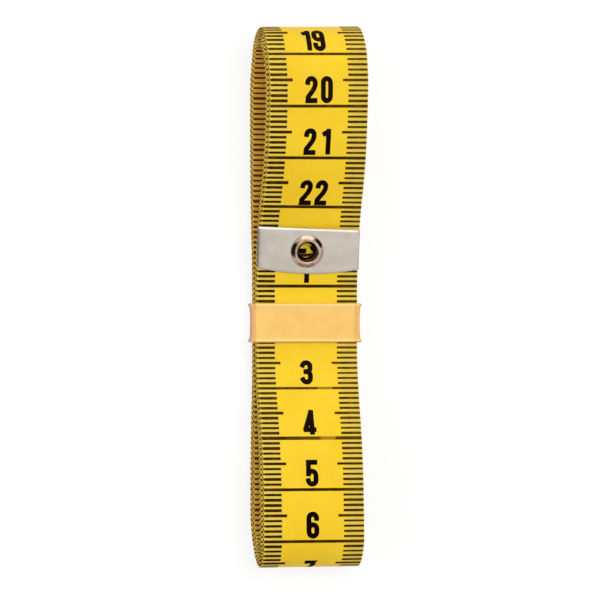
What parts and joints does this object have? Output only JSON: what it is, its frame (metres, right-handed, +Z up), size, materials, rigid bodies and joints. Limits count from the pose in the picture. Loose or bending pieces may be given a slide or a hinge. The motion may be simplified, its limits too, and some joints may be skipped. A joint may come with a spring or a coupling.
{
  "type": "cloth tape measure",
  "caption": "Soft tape measure wound into a flat hank, its free end with a folded metal tip and eyelet on top, held at the waist by a wide rubber band.",
  "frame": {"origin": "on the surface that the hank lies on, under the middle of its box", "axes": "+X across the tape, +Y along the hank towards its taller loop, +Z up through the printed face"},
  "size_m": [0.0214, 0.1046, 0.0159],
  "materials": {
    "tape": "coated cloth, satin, printed in black-brown",
    "tip_metal": "plated sheet, satin",
    "eyelet_metal": "nickel plated, polished",
    "latex": "natural rubber, satin"
  },
  "bodies": {
    "hank": {"tape_winding": "tape", "inner_tip_plate": "tip_metal"},
    "free_end": {"tape_free_end": "tape", "tip_plate": "tip_metal", "eyelet": "eyelet_metal"},
    "band": {"rubber_band": "latex"}
  },
  "joints": [
    {"name": "free_end_lift", "type": "hinge", "parent": "hank", "child": "free_end", "pos_m": [0, 0, 0.00575], "axis": [1, 0, 0], "range_deg": [0, 110]},
    {"name": "band_slide", "type": "slide", "parent": "hank", "child": "band", "axis": [0, -1, 0], "range_m": [0, 0.058], "deforming": ["rubber_band"]}
  ]
}
